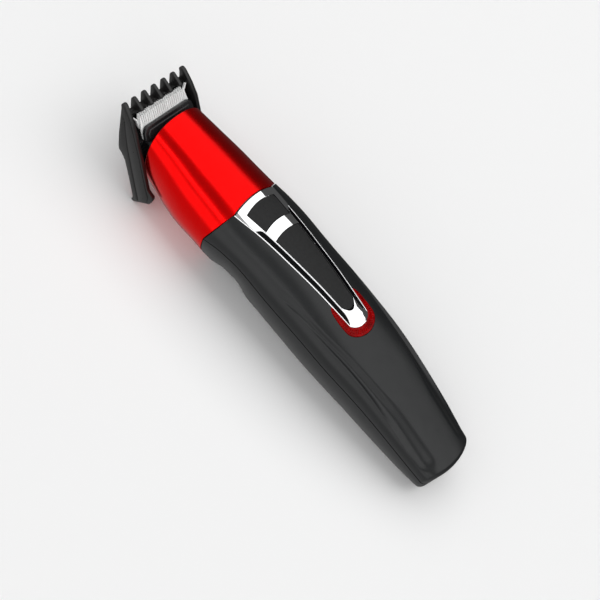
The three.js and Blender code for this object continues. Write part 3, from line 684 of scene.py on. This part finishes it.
finish_piece(draped_plate("power_button_cap", *BUTTON, pad_half, -0.35, 0.12, pad_rubber, edge=0.2,
                          corners=(0.7, 0.9), dish=0.12), "power_button", ["power_button"])
finish_piece(draped_plate("grip_inlay_pad", *INLAY, inlay_half, -0.6, 0.12, pad_rubber, edge=0.2,
                          corners=(0, 0.6)), "housing", ["grip_inlay"])
finish_piece(draped_plate("trim_channel_floor", TRIM_START + 1, 119, lambda x: trim_half(x) - 0.3, -1.5, 0.0,
                          gloss_black, bulge=0, edge=0.05, corners=(0, 0)),
             "housing", ["trim_backing"])


# ---------- chrome trim: the raised strip with its two wells, and the thin rim round it ----------
TRIM_HIGH = 0.3
INLAY_WELL = 0.95
BUTTON_WELL = 1.6
WELL_GAP = 0.12


def trim_strip():
    drop = 0.05
    x = [TRIM_START + 0.12 + d for d in (0, 0.02, 0.08, 0.18, 0.35, 0.6, 0.95, 1.4, 2.0, 2.7, 3.5, 4.4, 5.4,
                                          6.4, 7.4, 8.0)]
    first = INLAY[0] - WELL_GAP
    x += [first + d for d in (-0.02, 0, 0.03, 0.1, 0.22, 0.4, 0.65, 1, 1.5, 2.1, 2.8, 3.6, 4.5)]
    x += list(np.arange(76, INLAY[1] - 0.5, 1.0))
    walls = []
    for at, sign in ((INLAY[1] + WELL_GAP, 1), (BUTTON[0] - WELL_GAP, -1), (BUTTON[1] + WELL_GAP, 1)):
        walls += [at - sign * drop, at, at + sign * 0.06, at + sign * 0.18]
    x += walls + [106.3, 107.2, 108.1, 109.1, 111, 112, 113, 114, 115, 116, 117, 118, 118.8]
    x += [119.9, 120.6, 121.2, 121.5, 121.65, TRIM_END - 0.05]
    x = np.array(sorted(x))
    w = np.minimum(strip_half(x), trim_half(x) - 0.06)
    lip = np.where(x < first + 1e-6, 0.03,
                   np.where(x < INLAY[1] + WELL_GAP + 0.3,
                            (pad_half(x) + WELL_GAP) * rounded(x, first, 3.4 + WELL_GAP),
                            pad_half(x) + WELL_GAP))
    lip = np.minimum(lip, w - 0.3)
    lip = np.maximum(lip, 0.02)
    outer = np.array([0, 0.02, 0.08, 0.17, 0.28])
    walls = np.array([0.16, 0.06, 0.0, -0.03])
    side = [w[:, None] - outer, lip[:, None] + np.minimum(1, lip[:, None] * 4) * walls]
    span = side[1][:, -1:]
    inner = span * np.linspace(1, 0, 9)[None, 1:]
    right = np.concatenate([*side, inner], 1)
    y = np.concatenate([right, -right[:, ::-1][:, 1:]], 1)
    inside_y = np.abs(y) < lip[:, None] - 0.01
    in_inlay = (x > first + 0.01) & (x < INLAY[1] + WELL_GAP - 0.01)
    in_button = (x > BUTTON[0] - WELL_GAP + 0.01) & (x < BUTTON[1] + WELL_GAP - 0.01)
    deep = np.where(in_button, BUTTON_WELL, np.where(in_inlay, INLAY_WELL, 0))[:, None]
    outer_fall = round_drop(w[:, None] - np.abs(y), 0.28)
    # the strip's straight ends bow with the pads; its rounded tail end doesn't
    bow = CROSS_BULGE * np.clip((x - 66) / 4, 0, 1) ** 2 * np.ones_like(x)
    bow = bow[:, None] * (1 - (y / 8) ** 2)
    end_bow = bowed_end(y)
    blend = np.clip((x - 119.5) / (TRIM_END - 119.5), 0, 1)[:, None]
    bow = np.where(blend > 0, bow * (1 - blend) + (end_bow - SEAM) * blend, bow)
    wide = np.clip((np.abs(y) - 8) / 3, 0, 1)
    bow = np.where((x[:, None] > 105), np.maximum(bow, -0.2 - wide), bow)
    xx = x[:, None] + bow
    base = front_height(xx, y)
    z = base + TRIM_HIGH - outer_fall - np.where(inside_y, deep, 0)
    top = np.stack([xx, y, z], -1)
    bottom = np.stack([xx, y, base - 1.75], -1)
    return closed_plate("switch_trim_strip", top, bottom, chrome_trim, 32)


def trim_rim():
    straight = np.linspace(TRIM_END - 0.05, TRIM_START + TRIM_ROUND, 60)
    turn = TRIM_START + TRIM_ROUND * (1 - np.sin(np.linspace(0, np.pi / 2, 22)))
    x = np.concatenate([straight, turn[1:]])
    right = np.stack([x, trim_half(x)], 1)
    right[-1, 1] = 0
    path = np.concatenate([right, (right * [1, -1])[::-1][1:]])
    tangent = np.gradient(path, axis=0)
    tangent /= np.linalg.norm(tangent, axis=1)[:, None]
    normal = np.stack([-tangent[:, 1], tangent[:, 0]], 1)
    inward = np.where((normal[:, :1] * (path[:, :1] - 90) + normal[:, 1:] * path[:, 1:]) > 0, -1, 1) * normal
    half = TRIM_RIM / 2
    section = [(-half, -1.5), (-half, 0.03), (-0.18, 0.11), (-0.13, 0.16), (-0.07, 0.18), (0.07, 0.18),
               (0.13, 0.16), (0.18, 0.11), (half, 0.03), (half, -1.5)]
    verts = []
    for point, turn_in in zip(path, inward):
        for across, height in section:
            x, y = point + turn_in * (half + across)
            verts.append((x, y, float(front_height(np.array(x), np.array(y))) + height))
    sides = len(section)
    faces = grid(len(path), sides, wrap=True)
    faces.append(tuple(range(sides)))
    faces.append(tuple(reversed(range((len(path) - 1) * sides, len(path) * sides))))
    return keep_creases(obj_from("switch_trim_rim", np.array(verts), faces, chrome_trim), 50)


finish_piece(trim_strip(), "housing", ["switch_trim"])
finish_piece(trim_rim(), "housing", [])


# ---------- ribbed red lens round the tail end of the trim ----------
def indicator_lens():
    centre = 66.5
    arm = LENS_END - 0.05 - (LENS_END - 0.05 - centre) * np.linspace(0, 1, 34)
    inner, outer = [], []
    for x in arm:
        inner.append((x, float(trim_half(np.array(x))) + 0.06))
        outer.append((x, float(lens_half(np.array(x)))))

    def reach(profile, start, angle):
        low, high = 0.0, 12.0
        for _ in range(40):
            mid = (low + high) / 2
            x, y = centre - mid * math.sin(angle), mid * math.cos(angle)
            if x > start and y < float(profile(np.array(x))):
                low = mid
            else:
                high = mid
        return centre - low * math.sin(angle), low * math.cos(angle)
    for angle in np.linspace(0, math.pi / 2, 30)[1:]:
        inner.append(reach(lambda x: trim_half(x) + 0.06, TRIM_START - 0.06, angle))
        outer.append(reach(lens_half, LENS_START, angle))
    inner, outer = np.array(inner), np.array(outer)
    mirror = np.array([1, -1])
    inner = np.concatenate([inner, (inner * mirror)[::-1][1:]])
    outer = np.concatenate([outer, (outer * mirror)[::-1][1:]])
    centre_line = (inner + outer) / 2
    length = np.concatenate([[0], np.cumsum(np.linalg.norm(np.diff(centre_line, axis=0), axis=1))])
    dense = np.linspace(0, length[-1], 361)

    def resample(line):
        return np.stack([np.interp(dense, length, line[:, k]) for k in (0, 1)], 1)
    inner, outer = resample(inner), resample(outer)
    cross = np.array([0, 0.03, 0.09, 0.18, 0.25, 0.3, 0.5, 0.7, 0.75, 0.82, 0.91, 0.97, 1])
    plan = inner[:, None] * (1 - cross[None, :, None]) + outer[:, None] * cross[None, :, None]
    edge = np.minimum(cross, 1 - cross)[None, :] * np.linalg.norm(outer - inner, axis=1)[:, None]
    rib = 0.5 + 0.5 * np.cos(2 * np.pi * dense / 0.9)
    recess = np.where((cross > 0.27) & (cross < 0.73), 1, 0)[None, :] * (0.12 + 0.2 * rib[:, None] ** 2)
    end_fall = round_drop(np.minimum(dense, length[-1] - dense), 0.3)[:, None]
    base = front_height(plan[..., 0], plan[..., 1])
    z = base + 0.26 - round_drop(edge, 0.2) - recess * np.clip(edge / 0.3, 0, 1) - end_fall
    top = np.concatenate([plan, z[..., None]], -1)
    bottom = np.concatenate([plan, (base - 1.7)[..., None]], -1)
    return closed_plate("indicator_lens_ring", top, bottom, red_lens, 50)


finish_piece(indicator_lens(), "housing", ["indicator_lens"])


# ---------- blades, carrier and comb, drawn in the blade frame ----------
def extruded(outline, low, high, plane="xz"):
    """Points and faces of an outline given thickness: along y (side view) or along z (plan view)."""
    count = len(outline)
    points = []
    for value in (low, high):
        for a, b in outline:
            across = value(a) if callable(value) else value
            points.append((a, across, b) if plane == "xz" else (a, b, across))
    faces = [tuple(range(count)), tuple(range(2 * count - 1, count - 1, -1))]
    faces += [(k, (k + 1) % count, count + (k + 1) % count, count + k) for k in range(count)]
    return points, faces


def head_piece(name, parts, material, edge, segments=3):
    verts, faces = [], []
    for points, quads in parts:
        faces += [tuple(len(verts) + k for k in f) for f in quads]
        verts += points
    obj = obj_from(name, from_head(np.array(verts, float)), faces, material, merge=1e-9)
    soften(obj, edge, segments, 25)
    settle(obj)
    return keep_creases(obj)


def toothed(half, back, root, pitch, count, tip, share, shoulder):
    """Plan outline of a blade: square back, sloping shoulders and a row of tapered teeth."""
    points = [(back, -half), (shoulder, -half)]
    first = -pitch * (count - 1) / 2
    for i in range(count):
        y = first + i * pitch
        tooth = pitch * share / 2
        if i > 0:
            points.append((root, y - tooth - 0.03))
        points += [(tip - 0.25, y - tooth * 0.75), (tip, y - tooth * 0.35), (tip, y + tooth * 0.35),
                   (tip - 0.25, y + tooth * 0.75)]
        if i < count - 1:
            points.append((root, y + tooth + 0.03))
    return points + [(shoulder, half), (back, half)]


def fixed_blade_outline():
    teeth = toothed(11.9, -17, -4.6, TOOTH_PITCH, 23, 0, 0.44, -2.9)
    wing = [(-4.2, 12.9), (-2.2, 13.0), (0, BLADE_HALF), (0.05, BLADE_HALF - 0.45), (-1.9, 12.5),
            (-2.7, 12.2)]
    waist = [(-5.6, 12.4), (-7.5, 9.6), (-17, 8.8)]
    right = [(x, -y) for x, y in wing[::-1]]
    left_waist = [(x, -y) for x, y in waist[::-1]]
    return left_waist + right[::-1] + teeth[2:-2] + wing[::-1] + waist


finish_piece(head_piece("fixed_blade_plate", [extruded(fixed_blade_outline(), -0.95, 0, "xy")],
                        blade_steel, 0.05, 2), "housing", ["fixed_blade"])
moving = toothed(MOVING_HALF, -9.4, -4.7, TOOTH_PITCH, 24, -0.6, 0.46, -5.2)
finish_piece(head_piece("moving_blade_plate", [extruded(moving, 0.3, 1.0, "xy")], blade_steel, 0.05, 2),
             "cutter", ["moving_blade"])


def carrier():
    bar = [(-4.7, -11.2), (-5.3, -12.2), (-7.0, -13.0), (-9.4, -13.2), (-10.6, -12.2), (-11, -10),
           (-11, 10), (-10.6, 12.2), (-9.4, 13.2), (-7.0, 13.0), (-5.3, 12.2), (-4.7, 11.2)]
    ridge = [(-6.1, -10.6), (-7.6, -11.7), (-9.6, -11.4), (-9.9, -9), (-9.9, 9), (-9.6, 11.4), (-7.6, 11.7),
             (-6.1, 10.6)]
    arm = extruded([(-6.5, 1.6), (-6.5, 2.9), (-11.5, 3.6), (-16, 3.4), (-16, 1.8)], -4.3, 4.3)
    fork = [extruded([(-16.6, 3.4), (-15.2, 3.6), (-15.2, -4.4), (-16.6, -4.4)], *side)
            for side in ((-4.3, -2.95), (2.95, 4.3))]
    return [extruded(bar, 1.3, 2.9, "xy"), extruded(ridge, 2.5, 3.45, "xy"), arm, *fork]


finish_piece(head_piece("blade_carrier_bar", carrier(), satin_black, 0.28), "cutter", ["blade_carrier"])

PRONG_PITCH = 5.2
FIN = [(5.95, -1.0), (5.7, -0.75), (5.2, -0.4), (1.4, 1.9), (0.8, 1.5), (0.8, -2), (-2.4, -4.5),
       (-12.4, -6.6),
       (-12.4, -8.4), (-10.6, -7.9), (5.0, -2.6), (5.6, -2.3), (5.95, -1.8)]
ARM = [(5.95, -1.0), (5.6, -0.55), (5.0, -0.15), (2, 0.8), (-0.3, 1.35), (-5.6, 2.1), (-15, 2.0),
       (-22.6, 1.6),
       (-28.3, 1.3), (-29.5, 2.0), (-31, 3.0), (-32.1, 2.6), (-34.1, 0.6), (-34.6, -7.7), (-33.8, -8.6),
       (-32.6, -7.4), (-25.6, -6.9), (-17.0, -6.6), (-14.6, -7.2), (-12.4, -8.2), (-10.9, -7.9), (-5.6, -6.0),
       (4.4, -2.4), (5.5, -2.3), (5.95, -1.8)]
ARM_FRONT_PANEL = [(4.6, -0.9), (1.8, 0.1), (-0.5, 0.75), (-5.6, 1.4), (-15, 1.35), (-22.6, 0.95), (-28, 0.7),
                   (-31.2, 0.8), (-33.6, -0.4), (-33.9, -4.4), (-31.8, -4.35), (-20.6, -3.6), (-10.8, -2.85),
                   (-6.6, -2.15), (-1.4, -1.45), (3.0, -1.2)]
ARM_REAR_PANEL = [(-0.6, -1.95), (-6.6, -2.65), (-10.8, -3.4), (-20.6, -4.15), (-31.8, -4.9), (-33.7, -4.95),
                  (-33.7, -6.6), (-32.6, -6.7), (-25.6, -6.2), (-16.8, -5.9), (-14.2, -6.5), (-12.2, -7.4),
                  (-10.9, -7.2), (-5.6, -5.3), (1.5, -2.8)]
WEB = [(0.2, -1.6), (0.2, -3.6), (1.6, -3.8), (1.9, -1.8)]
SOLE = [(-12.3, -6.8), (-2.4, -4.8), (-1.4, -5.3), (-12.3, -8.2)]


def arm_y(face, side):
    """Distance of an arm's face from the middle plane: flat behind the blade, leaning in towards the tip."""
    return lambda x: side * (face - 0.088 * np.clip(x + 5.6, 0, 20))


def arm_parts(side):
    parts = []
    layers = ((ARM, 15.6, 17.3), (ARM_FRONT_PANEL, 17.0, 17.62), (ARM_REAR_PANEL, 17.0, 17.5))
    for outline, near, far in layers:
        low, high = sorted((side * near, side * far))
        faces = [arm_y(abs(low), side), arm_y(abs(high), side)]
        first_cross = next(k for k, p in enumerate(outline) if p[0] < -5.6)
        last_cross = max(k for k, p in enumerate(outline) if p[0] < -5.6)
        points, sides = extruded(outline, *faces)
        count = len(outline)
        back_loop = list(range(first_cross - 1, last_cross + 2))
        front_loop = list(range(0, first_cross)) + list(range(last_cross + 1, count))
        sides = sides[2:]
        for loop in (back_loop, front_loop):
            sides.append(tuple(loop))
            sides.append(tuple(count + k for k in reversed(loop)))
        parts.append((points, sides))
    return parts


def comb():
    parts = [extruded(WEB, -16.0, 16.0), extruded(SOLE, -16.0, 16.0)]
    for i in range(-2, 3):
        parts.append(extruded(FIN, i * PRONG_PITCH - 0.72, i * PRONG_PITCH + 0.72))
    return parts + arm_parts(1) + arm_parts(-1)


finish_piece(head_piece("guide_comb_shell", comb(), comb_black, 0.24), "comb", ["guide_comb"])


# ---------- stage ----------
def plain(name, colour, roughness):
    material = bpy.data.materials.new(name)
    material.use_nodes = True
    shader = material.node_tree.nodes["Principled BSDF"]
    shader.inputs["Base Color"].default_value = (*colour, 1)
    shader.inputs["Roughness"].default_value = roughness
    shader.inputs["Specular IOR Level"].default_value = 0.0
    return material


bpy.ops.mesh.primitive_plane_add(size=8)
floor = bpy.context.object
floor.name = "floor"
floor.data.materials.append(plain("floor", (0.9, 0.9, 0.9), 0.9))

def studio_world():
    """An even pale surround that falls to dark low on the clipper's far side."""
    world = bpy.data.worlds.new("studio")
    world.use_nodes = True
    tree = world.node_tree
    background = tree.nodes["Background"]
    place = tree.nodes.new("ShaderNodeTexCoord")
    split = tree.nodes.new("ShaderNodeSeparateXYZ")
    tree.links.new(place.outputs["Generated"], split.inputs["Vector"])
    fade = tree.nodes.new("ShaderNodeMapRange")
    fade.interpolation_type = "SMOOTHSTEP"
    fade.inputs["From Min"].default_value = -0.75
    fade.inputs["From Max"].default_value = 0.35
    fade.inputs["To Min"].default_value = 0.07
    fade.inputs["To Max"].default_value = 0.62
    tree.links.new(split.outputs["Y"], fade.inputs["Value"])
    # darker between the strip light and the key, for the dark band along the cover and the flute
    overhead = tree.nodes.new("ShaderNodeMapRange")
    overhead.interpolation_type = "SMOOTHSTEP"
    overhead.inputs["From Min"].default_value = 0.70
    overhead.inputs["From Max"].default_value = 0.86
    overhead.inputs["To Min"].default_value = 1.0
    overhead.inputs["To Max"].default_value = 0.6
    tree.links.new(split.outputs["Z"], overhead.inputs["Value"])
    both = tree.nodes.new("ShaderNodeMath")
    both.operation = "MULTIPLY"
    tree.links.new(fade.outputs["Result"], both.inputs[0])
    tree.links.new(overhead.outputs["Result"], both.inputs[1])
    tree.links.new(both.outputs["Value"], background.inputs["Strength"])
    background.inputs["Color"].default_value = (1, 1, 1, 1)
    bpy.context.scene.world = world


studio_world()
floor.visible_glossy = False


def softbox(name, toward, distance, size, radiance):
    """An area light towards a direction in row axes, facing the clipper, as bright as its radiance."""
    data = bpy.data.lights.new(name, "AREA")
    data.shape = "RECTANGLE"
    data.size, data.size_y = size
    data.energy = radiance * math.pi * size[0] * size[1]
    obj = bpy.data.objects.new(name, data)
    bpy.context.scene.collection.objects.link(obj)
    direction = Vector(toward).normalized()
    obj.location = direction * distance
    obj.visible_camera = False
    back = direction
    right = Vector((1, 0, 0)) - back * back.x
    right.normalize()
    up = back.cross(right)
    obj.rotation_euler = Matrix((right, up, back)).transposed().to_euler()
    return obj


softbox("key", (0.0, -0.38, 0.925), 1.6, (3.6, 1.8), 1.35)
softbox("strip", (0.0, 0.65, 0.76), 1.5, (3.0, 0.28), 1.6)
softbox("side", (0.0, 0.95, 0.31), 1.6, (3.0, 1.0), 0.75)

# ---------- camera ----------
def row_direction(v):
    c, s = math.cos(PITCH), math.sin(PITCH)
    return Vector((v[0] * c - v[2] * s, v[1], v[0] * s + v[2] * c))


camera_data = bpy.data.cameras.new("camera")
camera = bpy.data.objects.new("camera", camera_data)
bpy.context.scene.collection.objects.link(camera)
camera_data.lens = 78
camera_data.sensor_width = 36
camera_data.clip_start = 0.01
back = row_direction((0.093, 0.608, 0.789)).normalized()
right = row_direction((-0.603, -0.596, 0.530))
right = (right - back * right.dot(back)).normalized()
up = back.cross(right)
camera.matrix_world = Matrix.Translation(Vector(to_row([127.0, 292.0, 362.9]))) @ \
    Matrix((right, up, back)).transposed().to_4x4()
bpy.context.scene.camera = camera
bpy.context.scene.view_settings.view_transform = "Standard"
bpy.context.scene.view_settings.exposure = 0.0
